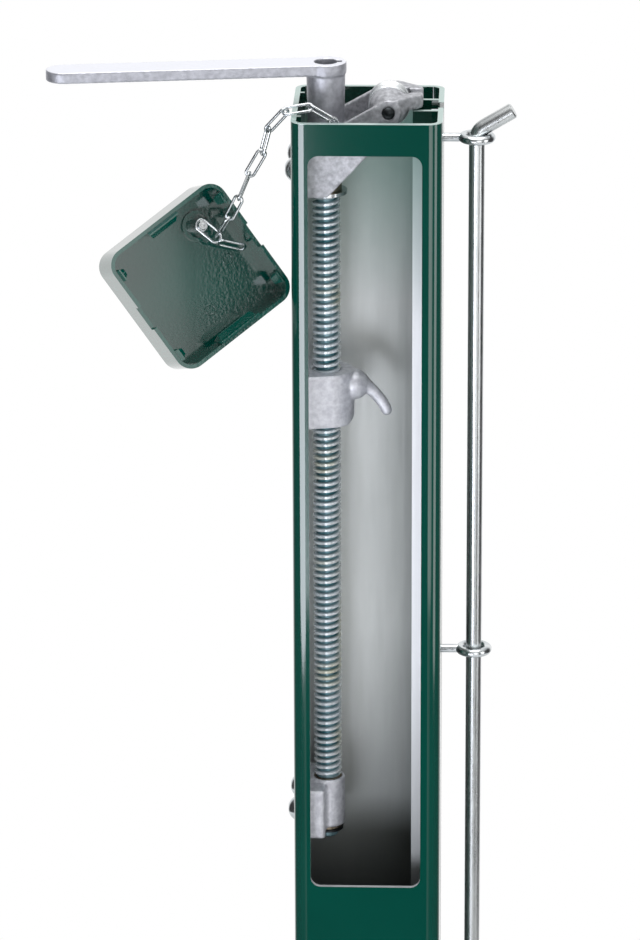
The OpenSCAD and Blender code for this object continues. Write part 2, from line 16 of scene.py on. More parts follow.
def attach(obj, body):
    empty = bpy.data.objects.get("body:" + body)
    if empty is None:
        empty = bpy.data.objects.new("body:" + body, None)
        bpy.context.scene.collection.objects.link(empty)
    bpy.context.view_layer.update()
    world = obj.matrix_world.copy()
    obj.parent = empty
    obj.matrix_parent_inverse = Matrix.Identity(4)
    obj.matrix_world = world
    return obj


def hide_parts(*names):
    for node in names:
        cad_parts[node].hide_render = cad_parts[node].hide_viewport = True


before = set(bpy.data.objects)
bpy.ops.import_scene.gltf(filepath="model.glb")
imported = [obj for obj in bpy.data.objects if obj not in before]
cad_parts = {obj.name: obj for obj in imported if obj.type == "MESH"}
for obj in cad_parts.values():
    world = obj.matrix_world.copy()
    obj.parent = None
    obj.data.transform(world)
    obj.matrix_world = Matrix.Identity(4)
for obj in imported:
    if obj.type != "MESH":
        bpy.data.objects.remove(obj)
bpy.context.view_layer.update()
MM = 0.001
RIM = 1420 * MM

# %% [markdown]
# ## The camera
# The photograph looks down at the top of the post from almost 3 m away with a long lens, so the sides
# hardly draw together. A camera is placed by its three axes: where it looks, what is right and what is
# up. It turns a little to the left, 19 degrees down and leans a fifth of a degree.

# %% Place the camera
CAMERA_PLACE = Vector((82.9, -2888.9, 785.4)) * MM + Vector((0, 0, RIM))
YAW, PITCH, ROLL = (math.radians(a) for a in (-2.2, 19.15, -0.21))
FRAME_HEIGHT_PX = 940
FOCAL_PX = 5297.6
SENSOR_MM = 36


def camera_axes(yaw, pitch, roll):
    """Right, up and forward as unit vectors.

    Forward = (sin yaw cos pitch, cos yaw cos pitch, -sin pitch). Right and up then turn by roll about it.
    """
    forward = Vector((math.sin(yaw) * math.cos(pitch), math.cos(yaw) * math.cos(pitch), -math.sin(pitch)))
    level = Vector((math.cos(yaw), -math.sin(yaw), 0))
    upright = level.cross(forward)
    right = level * math.cos(roll) + upright * math.sin(roll)
    up = upright * math.cos(roll) - level * math.sin(roll)
    return right, up, forward


right, up, forward = camera_axes(YAW, PITCH, ROLL)
camera = bpy.data.objects.new("camera", bpy.data.cameras.new("camera"))
camera.matrix_world = Matrix.Translation(CAMERA_PLACE) @ Matrix((right, up, -forward)).transposed().to_4x4()
camera.data.sensor_width = SENSOR_MM
camera.data.lens = FOCAL_PX * SENSOR_MM / FRAME_HEIGHT_PX
camera.data.clip_end = 50
scene = bpy.context.scene
scene.collection.objects.link(camera)
scene.camera = camera
scene.view_settings.view_transform = "Standard"
print("lens in mm:", round(camera.data.lens, 1))

# %% [markdown]
# ## Helpers for materials
# One function adds a node with its settings, values and links, and every material is made with it.
# Another turns a colour as a painter writes it, in hex, to the linear numbers that a shader works
# with. Pattern sizes are real sizes in millimetres.

# %% Colour, size and node helpers


def colour(hex_code):
    """Linear RGBA of an sRGB hex colour.

    Each channel c becomes c / 12.92 up to 0.04045, and ((c + 0.055) / 1.055)^2.4 above it.
    """
    channels = [int(hex_code[i:i + 2], 16) / 255 for i in (1, 3, 5)]
    return [c / 12.92 if c <= 0.04045 else ((c + 0.055) / 1.055) ** 2.4 for c in channels] + [1]


def every_mm(size):
    """Noise scale whose cells are about size millimetres across, on coordinates in metres."""
    return 1 / (size * MM)


def add(material, kind, inputs=(), **settings):
    """Add a node with its settings and inputs, and return it.

    Inputs go by name, or in a list in the order of the sockets that the settings leave in use. Each is
    a value, a hex colour, a link, or a node, whose first output in use is then linked.
    """
    made = material.node_tree.nodes.new("ShaderNode" + kind)
    for name, value in settings.items():
        setattr(made, name, value)
    sockets = [socket for socket in made.inputs if socket.enabled]
    if isinstance(inputs, dict):
        sockets = [next(socket for socket in sockets if socket.name == name) for name in inputs]
        inputs = inputs.values()
    for socket, value in zip(sockets, inputs):
        if isinstance(value, bpy.types.Node):
            value = next(output for output in value.outputs if output.enabled)
        if isinstance(value, bpy.types.NodeSocket):
            material.node_tree.links.new(value, socket)
        else:
            socket.default_value = colour(value) if isinstance(value, str) else value
    return made


def new_material(name):
    """An empty material and its object coordinates."""
    made = bpy.data.materials.new(name)
    made.use_nodes = True
    made.node_tree.nodes.clear()
    return made, add(made, "TexCoord").outputs["Object"]


def shade(material, value, *stops):
    """Colour of a value by stops of (value, colour), with a straight blend from each to the next.

    Between two stops, the share of the next colour is (value - low) / (high - low), held within 0 and 1.
    """
    blend = stops[0][1]
    for (low, _), (high, after) in zip(stops, stops[1:]):
        share = add(material, "MapRange", [value, low, high])
        blend = add(material, "Mix", [share, blend, after], data_type="RGBA")
    return blend


# %% [markdown]
# ## Powder coat on drawn aluminium
# The post is an extruded aluminium profile with a glossy dark green powder coat on its outside. The
# coat flows a little as it bakes, which leaves a faint orange peel. The inside stays bare: grey metal
# with streaks along the drawing direction, a green mist of overspray below the rim, and bright cut
# edges at the rim and round the window. One material does all of it, because one piece of metal
# carries it all. It works out how deep a point lies below the outer skin from the rounded square of
# the section: q = |p| - (half side - corner radius), depth = |max(q, 0)| + min(max(q.x, q.y), 0) - r.

# %% Make the post's material
HALF = 42.5 * MM
CORNER = 7.5 * MM
COAT_THICKNESS = 0.25 * MM
INNER_LEFT, INNER_FRONT, INNER_BACK = -38 * MM, -39.6 * MM, 38 * MM
DENSE_MIST = RIM - 15 * MM, RIM - 5 * MM
THIN_MIST = RIM - 125 * MM, RIM - 12 * MM
FOOT_SHADE = RIM - 520 * MM, RIM - 330 * MM
THIN_MIST_SHARE, BACK_WALL_SHARE, STREAK_SHARE = 0.8, 0.7, 0.35


def skin_depth(made, where):
    """Signed distance to the rounded square of the section: 0 on the outer skin, negative inside."""
    q = add(made, "VectorMath", [where], operation="ABSOLUTE")
    q = add(made, "VectorMath", [q, (HALF - CORNER, HALF - CORNER, 0)], operation="SUBTRACT")
    q = add(made, "VectorMath", [q, (1, 1, 0)], operation="MULTIPLY")
    outside = add(made, "VectorMath", [q, (0, 0, 0)], operation="MAXIMUM")
    outside = add(made, "VectorMath", [outside], operation="LENGTH")
    q = add(made, "SeparateXYZ", [q]).outputs
    inside = add(made, "Math", [q["X"], q["Y"]], operation="MAXIMUM")
    inside = add(made, "Math", [inside, 0.0], operation="MINIMUM")
    rounded = add(made, "Math", [outside, inside], operation="ADD")
    return add(made, "Math", [rounded, CORNER], operation="SUBTRACT")


def drawn_metal(made, at, where, streaks):
    """Colour of bare drawn aluminium, with painted light and painted shade on its walls as in the photo."""
    drawn = add(made, "Mapping", {"Vector": where, "Scale": (1, 1, 0.25)})
    clouds = add(made, "TexNoise", {"Vector": drawn, "Scale": every_mm(28), "Detail": 4, "Roughness": 0.6})
    metal = shade(made, clouds, (0.3, "#9fa3a2"), (0.5, "#b9bcbb"), (0.72, "#d3d5d4"))
    metal = shade(made, streaks, (0, metal), (1 / STREAK_SHARE, "#a2a6a5"))
    # The wall of the groove's chamber and the left wall are painted brighter than the back wall: painted
    # light on the chamber's wall and a painted reflection on the left wall
    front = add(made, "MapRange", [at["Y"], -5 * MM, -13 * MM])
    left = add(made, "MapRange", [at["X"], INNER_LEFT + 2 * MM, INNER_LEFT])
    painted_light_walls = add(made, "Math", [front, left], operation="MAXIMUM")
    metal = add(made, "Mix", [painted_light_walls, metal, "#eceef0"], data_type="RGBA")
    # The back wall is painted brightest beside the screw and darker to the right: painted light and painted
    # shade
    wall = shade(made, at["X"], (-14 * MM, "#f6f9f7"), (24 * MM, "#868b87"))
    back = add(made, "MapRange", [at["Y"], INNER_BACK - 4 * MM, INNER_BACK, 0, BACK_WALL_SHARE])
    metal = add(made, "Mix", [back, metal, wall], data_type="RGBA")
    # Far down, where little light comes, the metal is painted a darker grey: painted shade
    return shade(made, at["Z"], (FOOT_SHADE[0], "#626867"), (FOOT_SHADE[1], metal))


def coated_profile():
    """Glossy green powder coat outside, bare drawn aluminium inside and at the cut edges."""
    made, where = new_material("powder_coated_drawn_aluminium")
    at = add(made, "SeparateXYZ", [where]).outputs
    depth = skin_depth(made, where)
    # Streaks along the drawing direction: noise drawn out along Z
    drawn = add(made, "Mapping", {"Vector": where, "Scale": (1, 1, 0.035)})
    streaks = add(made, "TexNoise", {"Vector": drawn, "Scale": every_mm(2.2), "Detail": 3})
    metal = drawn_metal(made, at, where, streaks)
    # Cut faces of the rim are bare, so the coat stops just below it
    below_rim = add(made, "MapRange", [at["Z"], RIM - 0.15 * MM, RIM - 0.35 * MM])
    coated = add(made, "MapRange", [depth, -COAT_THICKNESS, -0.3 * COAT_THICKNESS])
    coated = add(made, "Math", [coated, below_rim], operation="MULTIPLY")

    # Overspray: full green just under the rim, then a thin mist that fades out
    ragged = add(made, "TexNoise", {"Vector": where, "Scale": every_mm(9), "Detail": 1})
    ragged = add(made, "Math", [ragged, 8 * MM, at["Z"]], operation="MULTIPLY_ADD")
    dense = add(made, "MapRange", [ragged, *DENSE_MIST])
    thin = add(made, "MapRange", [ragged, *THIN_MIST, 0, THIN_MIST_SHARE])
    inside = add(made, "MapRange", [depth, -2 * MM, -2.6 * MM])
    inside = add(made, "Math", [inside, below_rim], operation="MULTIPLY")
    mist = add(made, "Math", [dense, thin], operation="MAXIMUM")
    mist = add(made, "Math", [mist, inside], operation="MULTIPLY")
    green = add(made, "Mix", [dense, "#2f7767", "#033529"], data_type="RGBA")
    metal = add(made, "Mix", [mist, metal, green], data_type="RGBA")

    # The milled edge of the window is as bright as the day it was cut
    in_front = add(made, "MapRange", [at["Y"], INNER_FRONT + 0.15 * MM, INNER_FRONT])
    in_wall = add(made, "MapRange", [depth, -0.6 * COAT_THICKNESS, -COAT_THICKNESS])
    milled = add(made, "Math", [in_front, in_wall], operation="MULTIPLY")
    metal = add(made, "Mix", [milled, metal, "#f2f3f6"], data_type="RGBA")
    metal = add(made, "Mix", [below_rim, "#b4cbc5", metal], data_type="RGBA")
    tone = add(made, "TexNoise", {"Vector": where, "Scale": every_mm(60)})
    coat = add(made, "Mix", [tone, "#023f35", "#03493d"], data_type="RGBA")

    # The thin mist dries before it lands, so it stays as dull as the metal and only closed coat is glossy
    covered = add(made, "Math", [coated, mist], operation="MAXIMUM")
    bare = add(made, "Math", [1.0, covered], operation="SUBTRACT")
    closed = add(made, "Math", [dense, inside], operation="MULTIPLY")
    closed = add(made, "Math", [coated, closed], operation="MAXIMUM")
    uneven = add(made, "MapRange", [streaks, 0, 1, -0.1, 0.1])
    rough = add(made, "MapRange", [closed, 0, 1, 0.45, 0.07])
    rough = add(made, "Math", [uneven, bare, rough], operation="MULTIPLY_ADD")
    # The coat has orange peel, 2 mm across and a few thousandths of a millimetre deep, and the bare
    # metal has drawing lines
    peel = add(made, "TexNoise", {"Vector": where, "Scale": every_mm(2), "Detail": 1})
    peel = add(made, "Bump", {"Height": peel, "Distance": 0.006 * MM, "Strength": 0.5})
    lines = add(made, "Bump", {"Height": streaks, "Distance": 0.03 * MM, "Strength": 0.5})
    shader = add(made, "BsdfPrincipled", {
        "Base Color": add(made, "Mix", [coated, metal, coat], data_type="RGBA"),
        "Metallic": add(made, "Math", [bare, 0.55], operation="MULTIPLY"),
        "Roughness": rough,
        "Normal": add(made, "Mix", [bare, peel, lines], data_type="VECTOR"),
        "Specular IOR Level": 0.8,
        "Coat Weight": 0.6,
        "Coat Roughness": 0.06,
    })
    add(made, "OutputMaterial", [shader])
    return made


POST = coated_profile()

# %% [markdown]
# ## The other finishes
# Bright zinc plating has a cool mirror-like look with a faint cloudy haze. Die castings of aluminium
# come from the mould with a skin like fine sand. Bearing bronze is turned and oily, the black steel
# parts are oxidised, and the cap is moulded from glossy green plastic whose surface has shrunk into a
# coarse orange peel.

# %% Make the metals


def plain_metal(name, dark, light, rough, cloud_mm, grain_mm, grain_depth, metallic=1.0, stretch=(1, 1, 1),
                top=None):
    """A metal whose colour and polish change in clouds of cloud_mm, with relief grain_depth mm deep.

    Where top is given, faces whose own normal points up take that lighter colour: painted light, as on faces
    lit from above.
    """
    made, where = new_material(name)
    drawn = add(made, "Mapping", {"Vector": where, "Scale": stretch})
    clouds = add(made, "TexNoise", {"Vector": drawn, "Scale": every_mm(cloud_mm), "Detail": 4})
    base = shade(made, clouds, (0.32, dark), (0.68, light))
    # Upward faces painted lighter: painted light
    if top:
        facing = add(made, "SeparateXYZ", [add(made, "TexCoord").outputs["Normal"]]).outputs
        base = shade(made, facing["Z"], (0.6, base), (0.95, top))
    grain = add(made, "TexNoise", {"Vector": drawn, "Scale": every_mm(grain_mm), "Detail": 3})
    polish = add(made, "Math", [clouds, grain], operation="ADD")
    shader = add(made, "BsdfPrincipled", {
        "Base Color": base,
        "Metallic": metallic,
        "Roughness": add(made, "MapRange", [polish, 0.7, 1.3, rough - 0.06, rough + 0.08]),
        "Normal": add(made, "Bump", {"Height": grain, "Distance": grain_depth * MM, "Strength": 1.0}),
    })
    add(made, "OutputMaterial", [shader])
    return made


ZINC = plain_metal("bright_zinc_plated_steel", "#c6ccd0", "#e6e9ea", 0.2, 6, 0.8, 0.01)
DRAWN_ZINC = plain_metal("zinc_plated_drawn_rod", "#bcc0c2", "#dadddd", 0.27, 14, 1.0, 0.012,
                         stretch=(1, 1, 0.06))
CASTING = plain_metal("sand_skinned_cast_aluminium", "#c9cad2", "#e9eaf0", 0.42, 3.0, 1.5, 0.13,
                      metallic=0.6)
ROUGH_CASTING = plain_metal("coarse_sand_cast_aluminium", "#9b9ca1", "#c9cacf", 0.46, 2.6, 1.7, 0.2,
                            metallic=0.6)
# The crank's sides are a darker copy of the casting and its upward faces are lighter: painted shade and
# painted light
CRANK_CASTING = plain_metal("cast_aluminium_with_painted_top_light", "#a6a7ae", "#c3c4cb", 0.42, 3.0, 1.5, 0.13,
                            metallic=0.6, top="#f2f3fa")
TURNED_ZINC = plain_metal("turned_zinc_plated_steel", "#d6dadd", "#f0f2f2", 0.32, 8, 0.8, 0.01, metallic=0.6)
BRONZE = plain_metal("turned_bearing_bronze", "#857a66", "#aca190", 0.36, 6, 0.6, 0.01)
BLACK_STEEL = plain_metal("oxidised_dark_steel", "#2c2f31", "#4d5153", 0.38, 5, 0.7, 0.02)


SCREW_X = -24 * MM
MAJOR_R = 8 * MM
ROOT_R = 5.75 * MM


def rolled_thread():
    """Zinc plated thread: bright crests with yellow patches, and roots painted a darker teal-grey as painted
    shade and painted reflection.

    Root and crest are told apart by the distance to the screw's axis.
    """
    made, where = new_material("zinc_plated_rolled_thread")
    off_axis = add(made, "VectorMath", [where, (SCREW_X, 0, 0)], operation="SUBTRACT")
    off_axis = add(made, "VectorMath", [off_axis, (1, 1, 0)], operation="MULTIPLY")
    radius = add(made, "VectorMath", [off_axis], operation="LENGTH")
    height = add(made, "MapRange", [radius, ROOT_R, MAJOR_R - 0.3 * MM])
    patches = add(made, "TexNoise", {"Vector": where, "Scale": every_mm(26), "Detail": 3})
    crest = shade(made, patches, (0.35, "#e2ebf0"), (0.55, "#eef4f7"), (0.74, "#e2e1cb"))
    # Roots painted darker and teal: painted shade and painted reflection
    patches = add(made, "TexNoise", {"Vector": where, "Scale": every_mm(12)})
    root = shade(made, patches, (0.3, "#39707a"), (0.7, "#8aa8b0"))
    grain = add(made, "TexNoise", {"Vector": where, "Scale": every_mm(0.8)})
    shader = add(made, "BsdfPrincipled", {
        "Base Color": add(made, "Mix", [height, root, crest], data_type="RGBA"),
        "Metallic": 0.55,
        "Roughness": add(made, "MapRange", [height, 0, 1, 0.36, 0.26]),
        "Normal": add(made, "Bump", {"Height": grain, "Distance": 0.012 * MM, "Strength": 1.0}),
    })
    add(made, "OutputMaterial", [shader])
    return made


PEEL_FAR = -97 * MM
PEEL_NEAR = -80 * MM


def green_plastic():
    """Glossy injection-moulded plastic with a coarse orange peel."""
    made, where = new_material("moulded_green_polyamide")
    # The peel is coarse beside the chain's screw and fades out towards the far side
    across = add(made, "SeparateXYZ", [where]).outputs["X"]
    chain_side = add(made, "MapRange", [across, PEEL_FAR, PEEL_NEAR, 0.12, 1])
    peel = add(made, "TexNoise", {"Vector": where, "Scale": every_mm(1.7), "Detail": 1.5})
    peel = add(made, "Math", [peel, chain_side], operation="MULTIPLY")
    tone = add(made, "TexNoise", {"Vector": where, "Scale": every_mm(25)})
    shader = add(made, "BsdfPrincipled", {
        "Base Color": add(made, "Mix", [tone, "#00443a", "#005046"], data_type="RGBA"),
        "Normal": add(made, "Bump", {"Height": peel, "Distance": 0.06 * MM, "Strength": 1.0}),
        "Roughness": 0.12,
        "IOR": 1.55,
        "Specular IOR Level": 1.0,
        "Coat Weight": 0.6,
        "Coat Roughness": 0.05,
    })
    add(made, "OutputMaterial", [shader])
    return made


PLASTIC = green_plastic()

# %% [markdown]
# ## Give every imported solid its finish
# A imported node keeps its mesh. Only the material in its slot changes.

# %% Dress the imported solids
FINISHES = {
    POST: ["post_profile"],
    CASTING: ["top_bearing_bracket", "hook_nut", "bottom_bearing_block"],
    CRANK_CASTING: ["crank_handle"],
    BRONZE: ["top_bush", "bottom_bush"],
    TURNED_ZINC: ["cable_pulley"],
    ZINC: ["top_thrust_washer", "lead_screw", "pulley_pin_clip", "top_bracket_bolts",
           "bottom_block_bolts", "cap_sleeve", "cap_screw", "chain_anchor_screw", "inner_chain_links",
           "hanging_chain_links", "cap_chain_links", "groove_stop_nut", "eye_bolt_1", "eye_bolt_2",
           "eye_bolt_3", "eye_bolt_4"],
    DRAWN_ZINC: ["lacing_rod"],
    BLACK_STEEL: ["drive_key", "bottom_retaining_ring", "pulley_pin", "slot_nut_1", "slot_nut_2",
                  "slot_nut_3", "slot_nut_4"],
    PLASTIC: ["cap_shell"],
}
for finish, names in FINISHES.items():
    for name in names:
        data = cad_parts[name].data
        data.materials.clear()
        data.materials.append(finish)
print("solids dressed:", sum(len(names) for names in FINISHES.values()), "of", len(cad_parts))

# %% [markdown]
# ## Helpers for new surfaces
# A new piece is a grid of points over two parameters. Neighbouring points make four-sided faces, and
# a grid that closes on itself joins its last row or column to the first.

# %% Grid surface and piece helpers


def grid_faces(rows, columns, close_rows=False, close_columns=False):
    """Quads between neighbouring points of a grid that is stored row by row."""
    r = np.arange(rows if close_rows else rows - 1)
    c = np.arange(columns if close_columns else columns - 1)
    r, c = np.meshgrid(r, c, indexing="ij")
    r2, c2 = (r + 1) % rows, (c + 1) % columns
    corners = [r * columns + c, r * columns + c2, r2 * columns + c2, r2 * columns + c]
    return np.stack(corners, -1).reshape(-1, 4)


def joined(surfaces):
    """Points and faces of several (grid of points, faces) pairs as one list of each."""
    points, faces, count = [], [], 0
    for grid, quads in surfaces:
        points.append(grid.reshape(-1, 3))
        faces.append(quads + count)
        count += len(points[-1])
    return np.concatenate(points), np.concatenate(faces)


def make_piece(name, points, faces, body, finish, nodes=(), smooth_angle=None):
    """A piece from its points and faces: merged, turned outwards, shaded, and riding on its body."""
    mesh = bpy.data.meshes.new(name)
    mesh.from_pydata(np.asarray(points).reshape(-1, 3).tolist(), [], [list(map(int, f)) for f in faces])
    tidy = bmesh.new()
    tidy.from_mesh(mesh)
    bmesh.ops.remove_doubles(tidy, verts=tidy.verts, dist=1e-6)
    bmesh.ops.dissolve_degenerate(tidy, edges=tidy.edges, dist=1e-7)
    bmesh.ops.recalc_face_normals(tidy, faces=tidy.faces)
    tidy.to_mesh(mesh)
    tidy.free()
    return add_piece(name, mesh, body, finish, nodes, smooth_angle)


def add_piece(name, mesh, body, finish, nodes=(), smooth_angle=None):
    """Link a mesh as a piece on a body, in place of the named nodes."""
    mesh.materials.clear()
    mesh.materials.append(finish)
    mesh.shade_smooth()
    if smooth_angle is not None:
        mesh.set_sharp_from_angle(angle=math.radians(smooth_angle))
    piece = bpy.data.objects.new(name, mesh)
    scene.collection.objects.link(piece)
    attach(piece, body)
    if nodes:
        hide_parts(*nodes)
    print(name, "faces:", len(mesh.polygons))
    return piece


# %% [markdown]
# ## The screw's thread
# The real screw has a rolled trapezoidal thread, 16 mm across, that climbs 4 mm a turn to the right.
# The solid is a plain cylinder, because the nut's travel doesn't need the thread. Here the thread's
# section of crest, flank and root is carried along a helix and cut off at both ends with a chamfer.

# %% Carry the thread's section along its helix
SHAFT_R = 6.4 * MM
JOURNAL_R = 6 * MM
LEAD = 4 * MM
THREAD_TOP = RIM - 52 * MM
THREAD_BOTTOM = RIM - 408 * MM
SHAFT_TOP = RIM + 6 * MM
JOURNAL_BOTTOM = THREAD_BOTTOM - 38 * MM
STEPS_A_TURN = 40
THREAD_CHAMFER = 1.2 * MM
# One turn's section, as (along the axis, radius) in mm: crest with eased edges, flank, root, flank
SECTION = [(-0.74, 7.86), (-0.66, 8.0), (0.66, 8.0), (0.74, 7.86), (1.32, 5.75), (2.68, 5.75), (3.26, 7.86)]


def thread_surface():
    """Thread as a grid over the angle t and the section's places k.

    Point = (axis + r_k cos t, r_k sin t, bottom + lead t / 2 pi + s_k), cut off at both ends.
    """
    along, radius = (np.array(SECTION) * MM).T
    turns = math.ceil((THREAD_TOP - THREAD_BOTTOM) / LEAD) + 2
    t = np.linspace(0, 2 * np.pi * turns, turns * STEPS_A_TURN + 1)[:, None]
    z = THREAD_BOTTOM - LEAD + LEAD * t / (2 * np.pi) + along
    z = np.clip(z, THREAD_BOTTOM, THREAD_TOP)
    room = np.minimum(z - THREAD_BOTTOM, THREAD_TOP - z)
    r = np.minimum(radius, MAJOR_R - THREAD_CHAMFER + np.maximum(room, 0))
    return np.stack([SCREW_X + r * np.cos(t), r * np.sin(t), z], -1)


def turned(profile, sides=64):
    """Surface of revolution about the screw's axis: (r cos a, r sin a, z) for each (r, z) of the profile."""
    a = np.linspace(0, 2 * np.pi, sides, endpoint=False)[None, :]
    r, z = (np.array(profile)[:, i:i + 1] for i in (0, 1))
    return np.stack([SCREW_X + r * np.cos(a), r * np.sin(a), z + 0 * a], -1)


THREAD = rolled_thread()
thread = thread_surface()
parts = [(thread, grid_faces(*thread.shape[:2]))]
for profile in (
    [(0, THREAD_TOP - MM), (SHAFT_R, THREAD_TOP - MM), (SHAFT_R, SHAFT_TOP - MM), (SHAFT_R - MM, SHAFT_TOP),
     (0, SHAFT_TOP)],
    [(0, JOURNAL_BOTTOM), (JOURNAL_R - MM, JOURNAL_BOTTOM), (JOURNAL_R, JOURNAL_BOTTOM + MM),
     (JOURNAL_R, THREAD_BOTTOM + MM), (0, THREAD_BOTTOM + MM)],
):
    surface = turned(profile)
    parts.append((surface, grid_faces(*surface.shape[:2], close_columns=True)))
make_piece("threaded_screw", *joined(parts), "screw", THREAD, ["lead_screw"], 35)

# %% [markdown]
# ## The lacing rod
# The rod is drawn steel: straight for almost a metre, then bent over its top eye to a short tip, with
# both ends turned to a small chamfer. A round section is carried along its centre line.

# %% Carry a circle along the rod's centre line
ROD_X, ROD_R, ROD_FOOT = 61.3 * MM, 4.5 * MM, RIM - 985 * MM
BEND_Z, BEND_R, LEAN, TIP = RIM - 20.2 * MM, 9 * MM, math.radians(59), 18.8 * MM
END_CHAMFER = 0.7 * MM


def rod_surface(sides=48, bend_steps=24):
    """Rod as rings round a centre line that leans by l in its bend of radius R.

    Centre = (R (1 - cos l), 0, R sin l).
    Ring point = centre + r (cos a (cos l, 0, -sin l) + sin a (0, 1, 0)).
    """
    lean = np.concatenate([[0, 0, 0], np.linspace(0, LEAN, bend_steps), [LEAN, LEAN, LEAN]])
    place = np.stack([ROD_X + BEND_R * (1 - np.cos(lean)), 0 * lean, BEND_Z + BEND_R * np.sin(lean)], -1)
    place[:3, 2] = [ROD_FOOT, ROD_FOOT, ROD_FOOT + END_CHAMFER]
    ahead = np.array([math.sin(LEAN), 0, math.cos(LEAN)])
    place[-3:] += np.array([TIP - END_CHAMFER, TIP, TIP])[:, None] * ahead
    radius = np.full(len(lean), ROD_R)
    radius[[1, -2]] = ROD_R - END_CHAMFER
    radius[[0, -1]] = 0
    a = np.linspace(0, 2 * np.pi, sides, endpoint=False)[None, :, None]
    across = np.stack([np.cos(lean), 0 * lean, -np.sin(lean)], -1)[:, None, :]
    ring = np.cos(a) * across + np.sin(a) * np.array([0, 1, 0])
    return place[:, None, :] + radius[:, None, None] * ring


rod = rod_surface()
make_piece("drawn_lacing_rod", rod.reshape(-1, 3), grid_faces(*rod.shape[:2], close_columns=True), "rod",
           DRAWN_ZINC, ["lacing_rod"], 30)

# %% [markdown]
# ## Soft-edged castings
# A casting has no sharp edge: metal that runs into a mould rounds every corner. The solids have the
# right forms with sharp edges, so a copy of each is melted together on a fine grid of cells and then
# relaxed a few times. That rounds the edges by about a millimetre and leaves the flats where they are.

# %% Melt and relax copies of the cast solids


def cast_copy(name, node, body, cell, relaxing, finish=None):
    """Voxel remesh of a node's merged copy with cells of cell mm, relaxed the given number of times."""
    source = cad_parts[node]
    mesh = source.data.copy()
    tidy = bmesh.new()
    tidy.from_mesh(mesh)
    bmesh.ops.remove_doubles(tidy, verts=tidy.verts, dist=1e-6)
    tidy.to_mesh(mesh)
    tidy.free()
    melt = bpy.data.objects.new(name + "_melt", mesh)
    scene.collection.objects.link(melt)
    cells = melt.modifiers.new("cells", "REMESH")
    cells.mode = "VOXEL"
    cells.voxel_size = cell * MM
    relax = melt.modifiers.new("relax", "SMOOTH")
    relax.factor = 0.5
    relax.iterations = relaxing
    bpy.context.view_layer.update()
    done = bpy.data.meshes.new_from_object(melt.evaluated_get(bpy.context.evaluated_depsgraph_get()))
    bpy.data.objects.remove(melt)
    done.name = name
    return add_piece(name, done, body, finish or CASTING, [node])


cast_copy("bracket_casting", "top_bearing_bracket", "post", 0.7, 5, ROUGH_CASTING)
cast_copy("nut_casting", "hook_nut", "nut", 0.6, 6)
cast_copy("crank_casting", "crank_handle", "crank", 0.7, 2, CRANK_CASTING)
cast_copy("block_casting", "bottom_bearing_block", "post", 0.7, 5)

# %% [markdown]
# ## Marks inside the cap
# The mould's ejector pins leave two round marks, 6 mm across, on the floor of the cap. What belongs to
# the cap is worked out in its own frame in millimetres, where z = 0 is the cap's rim, and then turned
# to where the cap hangs.

# %% Make the ejector marks
CAP_PLACE = Vector((-93, -43.4, -88.7)) * MM + Vector((0, 0, RIM))
CAP_TURN, CAP_TILT, CAP_ROLL = (math.radians(a) for a in (19.4, 72, 31.6))
CAP_FRAME = (Matrix.Translation(CAP_PLACE) @ Matrix.Rotation(CAP_TURN, 4, "Z")
             @ Matrix.Rotation(CAP_TILT, 4, "X") @ Matrix.Rotation(CAP_ROLL, 4, "Z"))
CAP_FLOOR = -23.0
MARK_R, MARK_RIDGE = 2.8, 0.45
MARK_CENTRES = ((23.6, -4.7), (-1.8, -21.5))


def in_cap(points):
    """Points in millimetres in the cap's frame, turned and moved to the part's frame in metres."""
    turn = np.array(CAP_FRAME)
    return points.reshape(-1, 3) * MM @ turn[:3, :3].T + turn[:3, 3]


def tube_round(path, tangents, normal, radius, sides=12):
    """Closed tube: point + radius (cos b n + sin b t x n), where n is the normal of a flat path."""
    b = np.linspace(0, 2 * np.pi, sides, endpoint=False)[None, :, None]
    side = np.cross(tangents, normal)[:, None, :]
    return path[:, None, :] + radius * (np.cos(b) * normal + np.sin(b) * side)


def circle_mark(x, y):
    """Raised ring on the cap's floor: a thin tube round a circle, half sunk in the floor."""
    a = np.linspace(0, 2 * np.pi, 48, endpoint=False)[:, None]
    flat = np.concatenate([np.cos(a), np.sin(a), 0 * a], 1)
    along = np.concatenate([-np.sin(a), np.cos(a), 0 * a], 1)
    path = np.array([x, y, CAP_FLOOR]) + MARK_R * flat
    return tube_round(path, along, np.array([0.0, 0.0, 1.0]), MARK_RIDGE)


def closed_grid(grid):
    """A grid of points with faces that close it on itself both ways."""
    return grid, grid_faces(*grid.shape[:2], close_rows=True, close_columns=True)


mark_points, mark_faces = joined([closed_grid(circle_mark(*centre)) for centre in MARK_CENTRES])
make_piece("ejector_marks", in_cap(mark_points), mark_faces, "cap", PLASTIC)

# %% [markdown]
# ## The cap's snap tabs
# The solid has plain tabs on its walls. The real ones lean inwards as wedges that are steep above and
# run out slowly into the wall below. A wedge has six corners: three at each end of its ridge.

# %% Put wedges on the tabs
WEDGE_DEEP = 3.2
SUNK = 0.4
TAB_FACE = 35.8
WEDGE_TOP, RIDGE_Z, WEDGE_FOOT = 0.8, -3.5, -15
RIDGE_SHORTER = 1.5
WEDGE_FACES = [(0, 1, 2), (3, 5, 4), (0, 2, 5, 3), (1, 4, 5, 2), (0, 3, 4, 1)]
# Each tab: its wall, its place along the wall and its length
TABS = ((0, 0.0, 20), (2, 0.0, 26), (1, -27.8, 7), (1, 27.8, 7), (3, -27.8, 7), (3, 27.8, 7))


